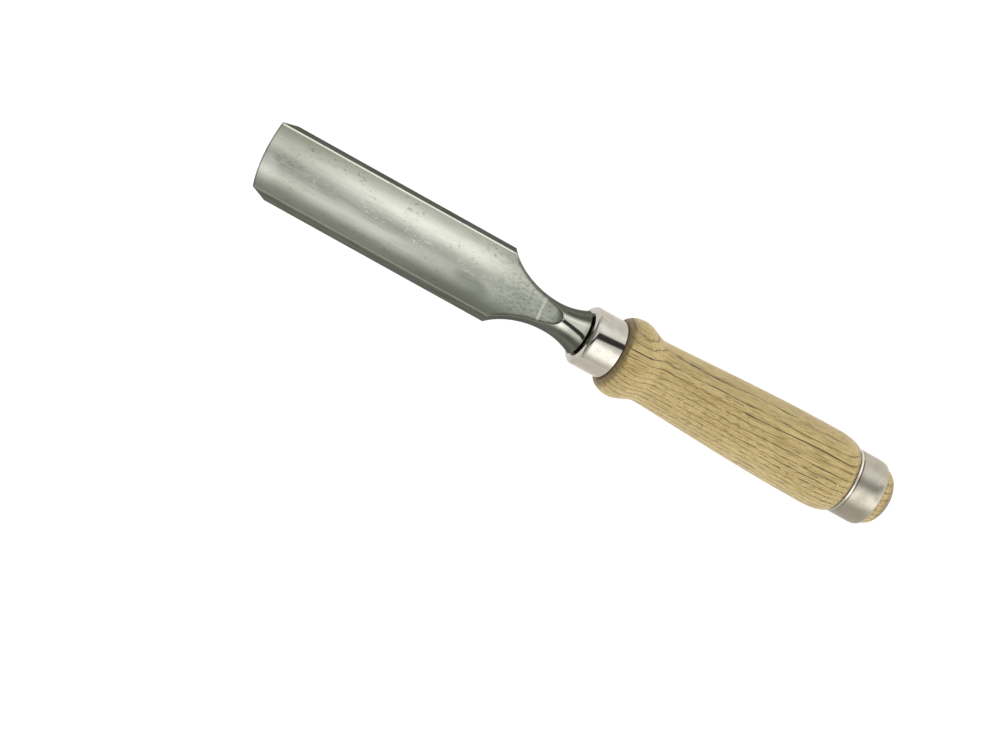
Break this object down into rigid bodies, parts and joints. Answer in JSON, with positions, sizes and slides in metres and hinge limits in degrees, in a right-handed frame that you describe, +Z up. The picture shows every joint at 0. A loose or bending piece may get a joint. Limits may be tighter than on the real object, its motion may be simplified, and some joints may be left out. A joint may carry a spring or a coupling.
{
  "type": "firmer gouge",
  "caption": "Tanged firmer gouge with an out-ground hollow blade, a waisted neck and bolster, a plated ferrule, a turned ash handle and a striking hoop.",
  "frame": {"origin": "under the middle of the tool, in the plane of the flat on the underside of the handle", "axes": "+X runs along the tool from the cutting edge to the domed striking end, +Z points up out of the blade's trough, and Y crosses the tool"},
  "size_m": [0.2968, 0.0328, 0.03],
  "materials": {
    "ground_steel": "satin, ground and partly polished",
    "plated_ferrule": "bright nickel plate",
    "turned_ash": "turned and lightly waxed, open pores",
    "plated_hoop": "satin nickel plate"
  },
  "bodies": {
    "root": {"gouge_blade": "ground_steel", "front_ferrule": "plated_ferrule", "handle": "turned_ash", "striking_hoop": "plated_hoop"}
  },
  "joints": []
}
